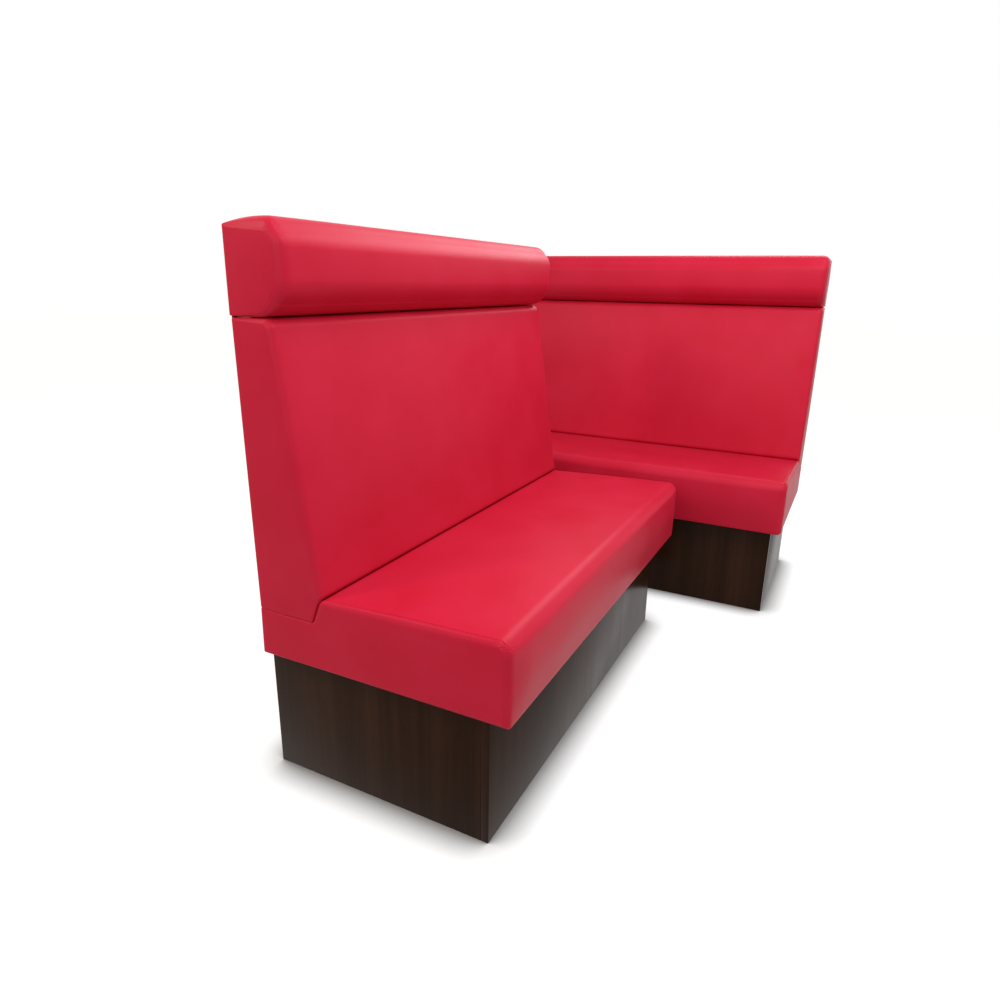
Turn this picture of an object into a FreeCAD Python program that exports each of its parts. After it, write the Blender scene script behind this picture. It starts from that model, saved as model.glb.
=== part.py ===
"""Restaurant booth seating: two upholstered high-back benches of one section, set in an L.

Each bench is drawn in its own frame: x runs from the back of the plinth to the front of the seat,
y along the bench and z up from the floor. The left bench keeps those axes in the part's frame; the
rear one is turned a quarter, so that its seat faces the end of the left one. Millimetres.
"""
import FreeCAD, Part
import math
import os
import re
from collections import namedtuple

import Sketcher
from FreeCAD import Placement, Rotation, Vector

# Driving sizes
SIZES = {
    # layout
    "left_length": 1200,
    "rear_length": 1200,
    "rear_overhang": 275,
    "bench_gap": 160,
    "bench_depth": 610,
    "upholstery_back": 10,
    # plinth of laminate-faced board
    "plinth_height": 305,
    "plinth_board": 18,
    "plinth_front_inset": 58,
    "plinth_end_inset": 36,
    "cleat_side": 34,
    # upholstery
    "cover": 1.5,
    "end_foam": 8.5,
    "front_foam": 20,
    "soft_gap": 0.3,
    "overrun": 40,
    # seat box, from the plinth up to the ledge under the back and on to the seat's front edge
    "rail_board": 18,
    "deck_board": 18,
    "seat_box_height": 107,
    "ledge_depth": 146,
    "step_lean": 21,
    "step_height": 56,
    "seat_slope": 16,
    "seat_rear_radius": 22,
    "seat_front_radius": 24,
    "seat_top_rise": 4,
    "seat_front_rise": 2,
    "seat_crown": 5,
    "seat_end_radius": 6,
    # raked back pad
    "pad_height": 604,
    "pad_foot_depth": 182,
    "pad_head_depth": 93,
    "pad_foam": 46,
    "pad_nose_rise": 8,
    "pad_nose_clearance": 6,
    "pad_nose_radius": 18,
    "pad_top_radius": 25,
    "pad_front_rise": 3,
    "pad_crown": 7,
    "pad_end_radius": 14,
    # headroll
    "roll_gap": 3,
    "roll_height": 164,
    "roll_depth": 133,
    "roll_foam": 68,
    "roll_top_foam": 20,
    "roll_radius": 42,
    "roll_front_rise": 2,
    "roll_top_rise": 3,
    "roll_crown": 6,
    "roll_end_radius": 4,
    "crown_run": 110,
    # back frame
    "outside_back": 6,
    "face_board": 6,
    "rib_board": 18,
    "frame_rail": 18,
    "bottom_rail_width": 100,
    "tack_rail_width": 32,
    # flanged bolts and square nut plates that hold the back to the seat
    "bolt_radius": 4,
    "bolt_length": 45,
    "bolt_head_flats": 13,
    "bolt_head_height": 7,
    "bolt_flange_radius": 9,
    "bolt_flange_thickness": 1.5,
    "bolt_clearance": 0.5,
    "nut_plate_side": 30,
    "nut_plate_thickness": 6,
    # coach screws that hold the seat to the plinth
    "screw_radius": 3,
    "screw_length": 70,
    "screw_head_flats": 10,
    "screw_head_height": 4,
    "screw_clearance": 0.5,
}

# Sizes that follow from the driving ones
DERIVED = {
    "overall_x": "max(rear_length; rear_overhang + bench_depth)",
    "overall_y": "left_length + bench_gap + bench_depth",
    "plinth_front": "bench_depth - plinth_front_inset",
    "plinth_inner_front": "plinth_front - plinth_board",
    "plinth_inner_end": "plinth_end_inset + plinth_board",
    "cleat_bottom": "plinth_height - cleat_side",
    "frame_end": "cover + end_foam",
    "seat_frame_back": "upholstery_back + cover",
    "seat_frame_front": "bench_depth - cover - front_foam",
    "ledge_height": "plinth_height + seat_box_height",
    "seat_rear_height": "ledge_height + step_height",
    "seat_front_height": "seat_rear_height + seat_slope",
    "pad_top": "ledge_height + pad_height",
    "roll_bottom": "pad_top + roll_gap",
    "roll_top": "roll_bottom + roll_height",
    "deck_top": "ledge_height - cover",
    "deck_bottom": "deck_top - deck_board",
    "rail_height": "deck_bottom - plinth_height",
    "step_foot": "upholstery_back + ledge_depth",
    "back_frame_back": "upholstery_back + outside_back",
    "pad_bottom": "ledge_height + soft_gap",
    "pad_rake": "(pad_foot_depth - pad_head_depth) / pad_height",
    "pad_nose_height": "seat_rear_height + pad_nose_rise",
    "pad_head": "upholstery_back + pad_head_depth",
    "pad_nose": "pad_head + (pad_top - pad_nose_height) * pad_rake",
    "pad_foot": "step_foot - pad_nose_clearance",
    "face_foot": "upholstery_back + pad_foot_depth - cover - pad_foam",
    "face_head": "pad_head - cover - pad_foam",
    "rib_foot": "face_foot - face_board",
    "rib_waist": "face_head - face_board - (roll_bottom - pad_top) * pad_rake",
    "roll_front": "upholstery_back + roll_depth",
    "roll_board_front": "roll_front - cover - roll_foam",
    "roll_frame_front": "roll_board_front - face_board",
    "rib_top": "roll_top - cover - roll_top_foam",
    "bottom_rail_top": "ledge_height + frame_rail",
    "bottom_rail_front": "back_frame_back + bottom_rail_width",
    "tack_rail_bottom": "roll_bottom - frame_rail",
    "tack_rail_front": "back_frame_back + tack_rail_width",
    "top_rail_bottom": "rib_top - frame_rail",
    "outside_top": "roll_top - roll_end_radius",
    "bolt_x": "back_frame_back + bottom_rail_width / 2",
    "back_screw_x": "plinth_board + cleat_side / 2",
    "front_screw_x": "plinth_inner_front - cleat_side / 2",
}

# Where repeated pieces stand, as shares of the length of their bench
CROSS_RAIL_SHARES = (1 / 3, 2 / 3)
SCREW_LINES = ("back_screw_x", "front_screw_x")
BOLT_SHARES = (1 / 5, 4 / 5)
MIDDLE_SHARE = 1 / 2

# Ribs of the back in outline: raked below, upright inside the headroll, and the middle one notched
# round the three rails that run past it
RIB_FRONT = [("rib_foot", "ledge_height"), ("rib_waist", "roll_bottom"), ("roll_frame_front", "roll_bottom")]
END_RIB = [("back_frame_back", "ledge_height"), *RIB_FRONT,
           ("roll_frame_front", "rib_top"), ("back_frame_back", "rib_top")]
MIDDLE_RIB = [("bottom_rail_front", "ledge_height"), *RIB_FRONT,
              ("roll_frame_front", "top_rail_bottom"), ("back_frame_back", "top_rail_bottom"),
              ("back_frame_back", "roll_bottom"), ("tack_rail_front", "roll_bottom"),
              ("tack_rail_front", "tack_rail_bottom"), ("back_frame_back", "tack_rail_bottom"),
              ("back_frame_back", "bottom_rail_top"), ("bottom_rail_front", "bottom_rail_top")]

# The least that a rounded corner keeps of its radius where its section draws in
TIGHTEST_SHARE = 0.1

# Steps that round the ends of each upholstered form, and steps that raise its crown
SEAT_STEPS = (1, 1)
PAD_STEPS = (2, 1)
ROLL_STEPS = (1, 2)

QUARTER_TURN = 90
HEX_SIDES = 6

# The properties that place and size a plain block
PLACE = ("Placement.Base.x", "Placement.Base.y", "Placement.Base.z")
SIZE = ("Length", "Width", "Height")

# Each bench: its turn about z, and where its own origin stands in the part's frame
BENCHES = {
    "left": (0, "rear_overhang - overall_x / 2", "-overall_y / 2"),
    "rear": (-QUARTER_TURN, "-overall_x / 2", "overall_y / 2"),
}

# One side of an upholstered section: the corner that it starts from, the radius of that corner, the
# rise of the side as a shallow arc, what the crown adds to that rise, whether the cover closes the
# side, and whether the side draws in at the ends of the bench
Side = namedtuple("Side", "x z radius rise crown covered drawn")

doc = FreeCAD.newDocument("booth_seating")
sheet = doc.addObject("Spreadsheet::Sheet", "sizes")
pieces = []


def fill_sheet():
    """Write each size into a cell of its own, and its name as the alias of that cell."""
    for row, (name, number) in enumerate(SIZES.items(), start=1):
        sheet.set(f"A{row}", name)
        sheet.set(f"B{row}", str(number))
        sheet.setAlias(f"B{row}", name)
    for row, (name, text) in enumerate(DERIVED.items(), start=len(SIZES) + 1):
        sheet.set(f"A{row}", name)
        sheet.set(f"B{row}", "=" + text)
        sheet.setAlias(f"B{row}", name)
    doc.recompute()


def value(name):
    """The number in the cell of that name."""
    return float(sheet.get(name))


def formula(bench, text):
    """The expression for a text of size names, in which `length` is that of the bench."""
    def cell(match):
        word = match.group()
        return f"sizes.{bench}_length" if word == "length" else f"sizes.{word}"
    return re.sub(r"[a-z_]+", cell, text)


def bind(piece, bench, fields):
    """Tie properties of a piece to the sheet, each by its own expression."""
    for field, text in fields.items():
        piece.setExpression(field, formula(bench, text))


def stand(piece, bench):
    """Keep a sub-part under its own name, at the place of the bench that it belongs to."""
    turn, east, north = BENCHES[bench]
    piece.Label = piece.Name
    piece.Placement = Placement(Vector(), Rotation(Vector(0, 0, 1), turn))
    bind(piece, bench, {"Placement.Base.x": east, "Placement.Base.y": north})
    pieces.append(piece)
    return piece


# Boards and rails

def board(bench, name, low, size):
    """A plain board from its low corner and its size along x, y and z."""
    body = stand(doc.addObject("PartDesign::Body", f"{bench}_{name}"), bench)
    block = body.newObject("PartDesign::AdditiveBox", f"{body.Name}_block")
    bind(block, bench, dict(zip(PLACE + SIZE, low + size)))
    return body


def drill(bench, body, centre, radius, depth):
    """An upright round hole in a board, from `centre` upwards."""
    hole = body.newObject("PartDesign::SubtractiveCylinder", f"{body.Name}_hole")
    bind(hole, bench, dict(zip(PLACE, centre)) | {"Radius": radius, "Height": depth})


def bar(bench, name, low, size, holes=()):
    """A plain bar of a group, drilled upwards at each (centre, radius, depth) of holes."""
    block = doc.addObject("Part::Box", f"{bench}_{name}_block")
    bind(block, bench, dict(zip(PLACE + SIZE, low + size)))
    if not holes:
        return block
    cutters = doc.addObject("Part::Compound", f"{block.Name}_cutters")
    cutters.Links = [cutter(bench, block.Name, *hole) for hole in holes]
    drilled = doc.addObject("Part::Cut", f"{block.Name}_drilled")
    drilled.Base, drilled.Tool = block, cutters
    return drilled


def cutter(bench, name, centre, radius, depth):
    """An upright cylinder that stands for the drill."""
    cylinder = doc.addObject("Part::Cylinder", f"{name}_hole")
    bind(cylinder, bench, dict(zip(PLACE, centre)) | {"Radius": radius, "Height": depth})
    return cylinder


def group_of(bench, name, bars):
    """Bars of one kind as the separate solids of one sub-part."""
    group = doc.addObject("Part::Compound", f"{bench}_{name}")
    group.Links = bars
    return stand(group, bench)


def cut_to_outline(bench, name, corners, start, thickness):
    """A board cut to an outline in x and z, across the bench from y = start."""
    body = doc.addObject("PartDesign::Body", f"{bench}_{name}")
    sketch = body.newObject("Sketcher::SketchObject", f"{body.Name}_outline")
    plane = next(item for item in body.Origin.OriginFeatures if item.Role == "XZ_Plane")
    sketch.AttachmentSupport = (plane, [""])
    sketch.MapMode = "FlatFace"
    bind(sketch, bench, {"AttachmentOffset.Base.z": f"-({start})"})
    draw_outline(sketch, bench, corners)
    pad = body.newObject("PartDesign::Pad", f"{body.Name}_pad")
    pad.Profile = sketch
    pad.Reversed = True
    bind(pad, bench, {"Length": thickness})
    return body


def draw_outline(sketch, bench, corners):
    """Straight lines from corner to corner, each corner held by its two distances from the origin."""
    count = len(corners)
    turn = 2 * math.pi / count
    rough = [Vector(math.cos(turn * index), math.sin(turn * index), 0) for index in range(count)]
    for index in range(count):
        sketch.addGeometry(Part.LineSegment(rough[index], rough[(index + 1) % count]))
    for index in range(count):
        sketch.addConstraint(Sketcher.Constraint("Coincident", index, 2, (index + 1) % count, 1))
    for index, corner in enumerate(corners):
        for kind, guess, text in zip(("DistanceX", "DistanceY"), rough[index], corner):
            held = sketch.addConstraint(Sketcher.Constraint(kind, -1, 1, index, 1, guess))
            sketch.setExpression(f"Constraints[{held}]", formula(bench, text))


# Plinth

def plinth(bench):
    """A box of laminate-faced boards, with glued blocks in its corners and cleats under its top."""
    run = "length - 2 * plinth_end_inset"
    inner_run = "length - 2 * plinth_inner_end"
    far_end = "length - plinth_inner_end"
    board(bench, "plinth_front", ("plinth_inner_front", "plinth_end_inset", "0"),
          ("plinth_board", run, "plinth_height"))
    board(bench, "plinth_back", ("0", "plinth_inner_end", "0"),
          ("plinth_board", inner_run, "plinth_height"))
    for name, start in (("plinth_near_end", "plinth_end_inset"), ("plinth_far_end", far_end)):
        board(bench, name, ("0", start, "0"), ("plinth_inner_front", "plinth_board", "plinth_height"))
    plinth_divider(bench)
    plinth_cleats(bench)
    plinth_corner_blocks(bench)


def plinth_divider(bench):
    """The board across the middle, notched at its top corners for the cleats."""
    back, front = "plinth_board", "plinth_inner_front"
    back_notch, front_notch = "plinth_board + cleat_side", "plinth_inner_front - cleat_side"
    corners = [(back, "0"), (front, "0"), (front, "cleat_bottom"), (front_notch, "cleat_bottom"),
               (front_notch, "plinth_height"), (back_notch, "plinth_height"),
               (back_notch, "cleat_bottom"), (back, "cleat_bottom")]
    start = f"length * {MIDDLE_SHARE} - plinth_board / 2"
    stand(cut_to_outline(bench, "plinth_divider", corners, start, "plinth_board"), bench)


def plinth_cleats(bench):
    """Two battens along the front and back, drilled for the screws that hold the seat."""
    bars = []
    for centre in SCREW_LINES:
        holes = [((centre, f"length * {share}", "cleat_bottom"), "screw_radius + screw_clearance",
                  "cleat_side") for share in CROSS_RAIL_SHARES]
        bars.append(bar(bench, "cleat", (f"{centre} - cleat_side / 2", "plinth_inner_end", "cleat_bottom"),
                        ("cleat_side", "length - 2 * plinth_inner_end", "cleat_side"), holes))
    group_of(bench, "plinth_cleats", bars)


def plinth_corner_blocks(bench):
    """A glued block upright in each corner, under the cleats."""
    starts = ("plinth_inner_end", "length - plinth_inner_end - cleat_side")
    bars = [bar(bench, "corner_block", (f"{centre} - cleat_side / 2", start, "0"),
                ("cleat_side", "cleat_side", "cleat_bottom"))
            for centre in SCREW_LINES for start in starts]
    group_of(bench, "plinth_corner_blocks", bars)


# Seat box

def seat_frame(bench):
    """A ladder of rails on the plinth, with one deck board over it that runs on under the back."""
    run = "length - 2 * frame_end"
    for name, start in (("seat_back_rail", "seat_frame_back"),
                        ("seat_front_rail", "seat_frame_front - rail_board")):
        board(bench, name, (start, "frame_end", "plinth_height"), ("rail_board", run, "rail_height"))
    seat_cross_rails(bench)
    deck = board(bench, "seat_deck", ("seat_frame_back", "frame_end", "deck_bottom"),
                 ("seat_frame_front - seat_frame_back", run, "deck_board"))
    for share in BOLT_SHARES:
        drill(bench, deck, ("bolt_x", f"length * {share}", "deck_bottom"),
              "bolt_radius + bolt_clearance", "deck_board")


def seat_cross_rails(bench):
    """Rails from front to back: one at each end, and two that take the screws from the plinth."""
    size = ("seat_frame_front - seat_frame_back - 2 * rail_board", "rail_board", "rail_height")
    bars = [bar(bench, "end_rail", ("seat_frame_back + rail_board", start, "plinth_height"), size)
            for start in ("frame_end", "length - frame_end - rail_board")]
    for share in CROSS_RAIL_SHARES:
        middle = f"length * {share}"
        holes = [((centre, middle, "plinth_height"), "screw_radius", "screw_length - cleat_side")
                 for centre in SCREW_LINES]
        low = ("seat_frame_back + rail_board", f"{middle} - rail_board / 2", "plinth_height")
        bars.append(bar(bench, "cross_rail", low, size, holes))
    group_of(bench, "seat_cross_rails", bars)


def feature(bench, name, shape):
    """A sub-part whose shape is worked out here, standing with its bench."""
    piece = doc.addObject("Part::Feature", f"{bench}_{name}")
    piece.Shape = shape
    return stand(piece, bench)


# Back frame

def back_frame(bench):
    """Three raked ribs on the ledge of the seat, tied by rails, with a board behind and two in front."""
    group_of(bench, "back_end_ribs", [cut_to_outline(bench, "back_end_rib", END_RIB, start, "rib_board")
                                      for start in ("frame_end", "length - frame_end - rib_board")])
    middle = cut_to_outline(bench, "back_middle_rib", MIDDLE_RIB,
                            f"length * {MIDDLE_SHARE} - rib_board / 2", "rib_board")
    stand(middle, bench)
    inner, run = "frame_end + rib_board", "length - 2 * (frame_end + rib_board)"
    bottom = board(bench, "back_bottom_rail", ("back_frame_back", inner, "ledge_height"),
                   ("bottom_rail_width", run, "frame_rail"))
    for share in BOLT_SHARES:
        drill(bench, bottom, ("bolt_x", f"length * {share}", "ledge_height"),
              "bolt_radius + bolt_clearance", "frame_rail")
    board(bench, "back_tack_rail", ("back_frame_back", inner, "tack_rail_bottom"),
          ("tack_rail_width", run, "frame_rail"))
    board(bench, "back_top_rail", ("back_frame_back", inner, "top_rail_bottom"),
          ("roll_frame_front - back_frame_back", run, "frame_rail"))
    board(bench, "outside_back_panel", ("upholstery_back", "cover", "ledge_height"),
          ("outside_back", "length - 2 * cover", "outside_top - ledge_height"))
    board(bench, "headroll_board", ("roll_frame_front", "frame_end", "roll_bottom + cover"),
          ("face_board", "length - 2 * frame_end", "rib_top - roll_bottom - cover"))
    face_lean = "(pad_top - cover - ledge_height) * pad_rake"
    face = [("rib_foot", "ledge_height"), ("face_foot", "ledge_height"),
            (f"face_foot - {face_lean}", "pad_top - cover"), (f"rib_foot - {face_lean}", "pad_top - cover")]
    stand(cut_to_outline(bench, "back_face_board", face, "frame_end", "length - 2 * frame_end"), bench)


# Upholstered sections

def seat_sides():
    """The seat box in section: one piece that steps down to the ledge under the back."""
    back, front, foot = value("upholstery_back"), value("bench_depth"), value("step_foot")
    low, ledge = value("plinth_height"), value("ledge_height")
    return [Side(back, low, 0, 0, 0, True, False),
            Side(back, ledge, 0, 0, 0, True, True),
            Side(foot, ledge, 0, 0, 0, True, True),
            Side(foot + value("step_lean"), value("seat_rear_height"), value("seat_rear_radius"),
                 value("seat_top_rise"), value("seat_crown"), True, True),
            Side(front, value("seat_front_height"), value("seat_front_radius"),
                 value("seat_front_rise"), 0, True, True),
            Side(front, low, 0, 0, 0, False, False)]


def pad_sides():
    """The raked pad in section: its foot is tucked behind the rounded rear edge of the seat."""
    back, low, top = value("back_frame_back"), value("pad_bottom"), value("pad_top")
    return [Side(back, low, 0, 0, 0, False, False),
            Side(back, top, 0, 0, 0, True, True),
            Side(value("pad_head"), top, value("pad_top_radius"),
                 value("pad_front_rise"), value("pad_crown"), True, True),
            Side(value("pad_nose"), value("pad_nose_height"), value("pad_nose_radius"), 0, 0, True, True),
            Side(value("pad_foot"), low, 0, 0, 0, False, False)]


def roll_sides():
    """The headroll in section: flat against the back, full and round in front."""
    back, front = value("back_frame_back"), value("roll_front")
    low, top, radius = value("roll_bottom"), value("roll_top"), value("roll_radius")
    return [Side(back, low, 0, 0, 0, False, False),
            Side(back, top, 0, value("roll_top_rise"), value("roll_crown"), True, True),
            Side(front, top, radius, value("roll_front_rise"), 0, True, True),
            Side(front, low, radius, 0, 0, True, True)]


def moved_corners(sides, amounts):
    """The corners of a section after each side has moved inwards by its own amount."""
    lines = []
    for index, side in enumerate(sides):
        end = sides[(index + 1) % len(sides)]
        along = Vector(end.x - side.x, 0, end.z - side.z).normalize()
        inwards = Vector(along.z, 0, -along.x)
        lines.append((Vector(side.x, 0, side.z) + inwards * amounts[index], along))
    corners = []
    for index, (point, along) in enumerate(lines):
        last_point, last_along = lines[index - 1]
        turn = last_along.x * along.z - last_along.z * along.x
        apart = point - last_point
        reach = (apart.x * along.z - apart.z * along.x) / turn
        corners.append(last_point + last_along * reach)
    return corners


def section(sides, station, inset, drawn, crown_share):
    """The closed outline of a section at one place along the bench."""
    amounts = [(inset if side.covered else 0) + (drawn if side.drawn else 0) for side in sides]
    corners = moved_corners(sides, amounts)
    starts, ends, edges = [], [], []
    for index, corner in enumerate(corners):
        before = (corner - corners[index - 1]).normalize()
        after = (corners[(index + 1) % len(corners)] - corner).normalize()
        full = sides[index].radius
        radius = max(full - inset - drawn, full * TIGHTEST_SHARE)
        half_turn = math.acos(max(-1, min(1, before.dot(after)))) / 2
        reach = radius * math.tan(half_turn)
        starts.append(corner - before * reach)
        ends.append(corner + after * reach)
        if radius:
            outwards = (before - after).normalize()
            gap = radius / math.cos(half_turn) - radius
            edges.append(Part.Arc(starts[-1], corner - outwards * gap, ends[-1]))
        else:
            edges.append(None)
    curves = []
    for index, side in enumerate(sides):
        if edges[index]:
            curves.append(edges[index])
        start, end = ends[index], starts[(index + 1) % len(sides)]
        rise = side.rise + side.crown * crown_share
        if side.rise:
            along = (end - start).normalize()
            middle = (start + end) / 2 - Vector(along.z, 0, -along.x) * rise
            curves.append(Part.Arc(start, middle, end))
        else:
            curves.append(Part.LineSegment(start, end))
    wire = Part.Wire([curve.toShape() for curve in curves])
    wire.translate(Vector(0, station, 0))
    return wire


def soft_form(bench, sides, end_radius, steps, inset):
    """A closed soft solid: rounded where it meets its end panels, and crowned between them."""
    length = value(f"{bench}_length")
    radius, run = end_radius - inset, value("crown_run")
    rounding, crowning = [[math.radians(QUARTER_TURN) * step / count for step in range(count + 1)]
                          for count in steps]
    near = [(end_radius - radius * math.cos(angle), radius * (1 - math.sin(angle)), 0) for angle in rounding]
    near += [(end_radius + run * (1 - math.cos(angle)), 0, math.sin(angle)) for angle in crowning[1:]]
    far = [(length - place, drawn, share) for place, drawn, share in reversed(near)]
    wires = [section(sides, place, inset, drawn, share) for place, drawn, share in near + far]
    return Part.makeLoft(wires, True, True)


def upholster(bench, name, form, envelope, regions, holes=()):
    """A cover drawn over foam, both fitted round the frame that fills the envelope.

    The main foam is what lies outside the first region; inside it, each next region parts off a
    strip from the foam at the ends.
    """
    outer, rest = [soft_form(bench, *form, inset) for inset in (0, value("cover"))]
    feature(bench, f"{name}_cover", outer.cut([rest, envelope, *holes]))
    rest = rest.cut(envelope)
    foams = []
    for region in regions:
        foams += rest.cut(region).Solids
        rest = rest.common(region)
    main, *edges = foams + rest.Solids
    feature(bench, f"{name}_foam", main)
    feature(bench, f"{name}_edge_foam", Part.makeCompound(edges))


def beyond(bench, low, high):
    """A box from x, z to x, z that runs past both ends of the bench."""
    past, length = value("overrun"), value(f"{bench}_length")
    return Part.makeBox(high[0] - low[0], length + 2 * past, high[1] - low[1], Vector(low[0], -past, low[1]))


def within(bench, shape):
    """What is left of a shape between the ends of the frame."""
    end = value("frame_end")
    box = shape.BoundBox
    return shape.common(Part.makeBox(box.XLength, value(f"{bench}_length") - 2 * end, box.ZLength,
                                     Vector(box.XMin, end, box.ZMin)))


def seat_upholstery(bench):
    """The foam lies over the deck and laps the front rail and the ends of the frame."""
    past = value("overrun")
    low = (value("seat_frame_back"), value("plinth_height") - past)
    under_deck = beyond(bench, low, (value("bench_depth") + past, value("deck_top")))
    behind_front = beyond(bench, low, (value("seat_frame_front"), value("deck_top")))
    radius = value("bolt_radius") + value("bolt_clearance")
    holes = [Part.makeCylinder(radius, value("cover") + past,
                               Vector(value("bolt_x"), value(f"{bench}_length") * share, value("deck_top")))
             for share in BOLT_SHARES]
    upholster(bench, "seat", (seat_sides(), value("seat_end_radius"), SEAT_STEPS),
              within(bench, behind_front), [under_deck, behind_front], holes)


def pad_upholstery(bench):
    """The foam lies on the raked board and laps the outer ribs."""
    past, length, rake = value("overrun"), value(f"{bench}_length"), value("pad_rake")
    low, high = value("ledge_height") - past, value("pad_top") + past
    back, foot, head = value("back_frame_back") - past, value("face_foot"), value("face_head")
    corners = [Vector(back, -past, low), Vector(foot + past * rake, -past, low),
               Vector(head - past * rake, -past, high), Vector(back, -past, high)]
    outline = Part.Face(Part.makePolygon(corners + corners[:1]))
    behind_face = outline.extrude(Vector(0, length + 2 * past, 0))
    upholster(bench, "back_pad", (pad_sides(), value("pad_end_radius"), PAD_STEPS),
              within(bench, behind_face), [behind_face])


def roll_upholstery(bench):
    """The foam wraps the front and top of the headroll board and laps the outer ribs."""
    past = value("overrun")
    low = (value("back_frame_back") - past, value("roll_bottom") - past)
    behind_board = beyond(bench, low, (value("roll_board_front"), value("roll_top") + past))
    under_top = beyond(bench, low, (value("roll_board_front"), value("rib_top")))
    upholster(bench, "headroll", (roll_sides(), value("roll_end_radius"), ROLL_STEPS),
              within(bench, under_top), [behind_board, under_top])


# Fasteners

def group(name, shape, places):
    """Copies of one fastener, upright at the given places of each bench, as separate solids."""
    copies = []
    for bench in BENCHES:
        stance = doc.getObject(f"{bench}_seat_deck").Placement
        for place in places(bench):
            copy = shape.copy()
            copy.Placement = stance.multiply(Placement(place, Rotation()))
            copies.append(copy)
    piece = doc.addObject("Part::Feature", name)
    piece.Shape = Part.makeCompound(copies)
    pieces.append(piece)


def bolt_places(height):
    """Along the bottom rail of the back, at one height."""
    def places(bench):
        return [Vector(value("bolt_x"), value(f"{bench}_length") * share, height) for share in BOLT_SHARES]
    return places


def screw_places(bench):
    """Under each end of each cross rail, at the underside of the cleats."""
    return [Vector(value(line), value(f"{bench}_length") * share, value("cleat_bottom"))
            for share in CROSS_RAIL_SHARES for line in SCREW_LINES]


def hex_head(flats, height):
    """A hexagonal head that sits on z = 0."""
    corner = Vector(flats / 2 / math.cos(math.pi / HEX_SIDES), 0, 0)
    corners = [Rotation(Vector(0, 0, 1), math.degrees(2 * math.pi * side / HEX_SIDES)).multVec(corner)
               for side in range(HEX_SIDES)]
    return Part.Face(Part.makePolygon(corners + corners[:1])).extrude(Vector(0, 0, height))


def flange_bolt():
    """A bolt whose flanged head sits on z = 0 and whose shank hangs below."""
    length = value("bolt_length")
    head = hex_head(value("bolt_head_flats"), value("bolt_head_height"))
    flange = Part.makeCylinder(value("bolt_flange_radius"), value("bolt_flange_thickness"))
    shank = Part.makeCylinder(value("bolt_radius"), length, Vector(0, 0, -length))
    return head.fuse([flange, shank])


def nut_plate():
    """A square plate with a threaded hole, whose top is z = 0."""
    side, thickness = value("nut_plate_side"), value("nut_plate_thickness")
    plate = Part.makeBox(side, side, thickness, Vector(-side / 2, -side / 2, -thickness))
    return plate.cut(Part.makeCylinder(value("bolt_radius"), thickness, Vector(0, 0, -thickness)))


def coach_screw():
    """A screw that stands up from z = 0, with a hexagonal head below."""
    head = hex_head(value("screw_head_flats"), -value("screw_head_height"))
    return head.fuse(Part.makeCylinder(value("screw_radius"), value("screw_length")))


def fasteners():
    group("back_bolts", flange_bolt(), bolt_places(value("bottom_rail_top")))
    group("nut_plates", nut_plate(), bolt_places(value("deck_bottom")))
    group("plinth_screws", coach_screw(), screw_places)


# Checks and files

def check():
    """Stop if anything failed to build, before a file is written."""
    for item in doc.Objects:
        if "Invalid" in item.State or "Error" in item.State:
            raise RuntimeError(f"{item.Label} did not build: {item.State}")
    for piece in pieces:
        if piece.Shape.isNull() or not piece.Shape.isValid() or not piece.Shape.Solids:
            raise RuntimeError(f"{piece.Label} has no sound solid")


def main():
    fill_sheet()
    for bench in BENCHES:
        plinth(bench)
        seat_frame(bench)
        back_frame(bench)
        seat_upholstery(bench)
        pad_upholstery(bench)
        roll_upholstery(bench)
    doc.recompute()
    fasteners()
    check()
    os.makedirs("parts", exist_ok=True)
    for piece in pieces:
        piece.Shape.exportStep(f"parts/{piece.Label}.step")
    print(len(pieces), "sub-parts written")


main()
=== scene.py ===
# %% [markdown]
# # Two booth benches in red leathercloth
# The object is a corner of restaurant seating: two benches alike, set at a right angle.
# Each bench is a boarded plinth, a padded seat, a raked back pad and a round headroll above it.
# The measured model comes in as a frame, and every soft part is then made again as upholstery:
# a block of foam cut to its section, a cloth stretched over it, and the seams sewn in last.

import math
import time
from collections import namedtuple

import bpy
import numpy as np
from mathutils import Matrix, Vector
from mathutils.kdtree import KDTree


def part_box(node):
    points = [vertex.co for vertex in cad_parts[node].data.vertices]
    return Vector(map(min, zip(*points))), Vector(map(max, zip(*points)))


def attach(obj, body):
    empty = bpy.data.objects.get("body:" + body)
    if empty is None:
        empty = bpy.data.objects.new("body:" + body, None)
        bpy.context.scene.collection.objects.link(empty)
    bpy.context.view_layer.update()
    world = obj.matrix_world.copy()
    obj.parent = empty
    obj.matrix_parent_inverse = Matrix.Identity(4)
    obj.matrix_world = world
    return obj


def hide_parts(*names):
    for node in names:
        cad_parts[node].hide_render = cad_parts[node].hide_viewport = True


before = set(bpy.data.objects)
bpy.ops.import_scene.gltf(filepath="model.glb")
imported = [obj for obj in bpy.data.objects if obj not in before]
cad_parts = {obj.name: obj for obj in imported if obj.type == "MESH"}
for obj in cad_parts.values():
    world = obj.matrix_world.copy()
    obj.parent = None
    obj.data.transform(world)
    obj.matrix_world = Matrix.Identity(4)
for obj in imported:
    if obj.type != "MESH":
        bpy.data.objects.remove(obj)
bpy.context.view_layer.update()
MM = 0.001
print("frame nodes:", len(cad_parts))

# %% [markdown]
# ## Where the two benches stand
# Both benches have the same section, so all upholstery is drawn once, in a bench's own space:
# x runs from the plinth's back to the front of the seat, y along the bench and z up.
# A turn and a shift then put each piece in its place. The plinth's own corners say where that is.

# %% Find each bench's place
Bench = namedtuple("Bench", "name length place")


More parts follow.
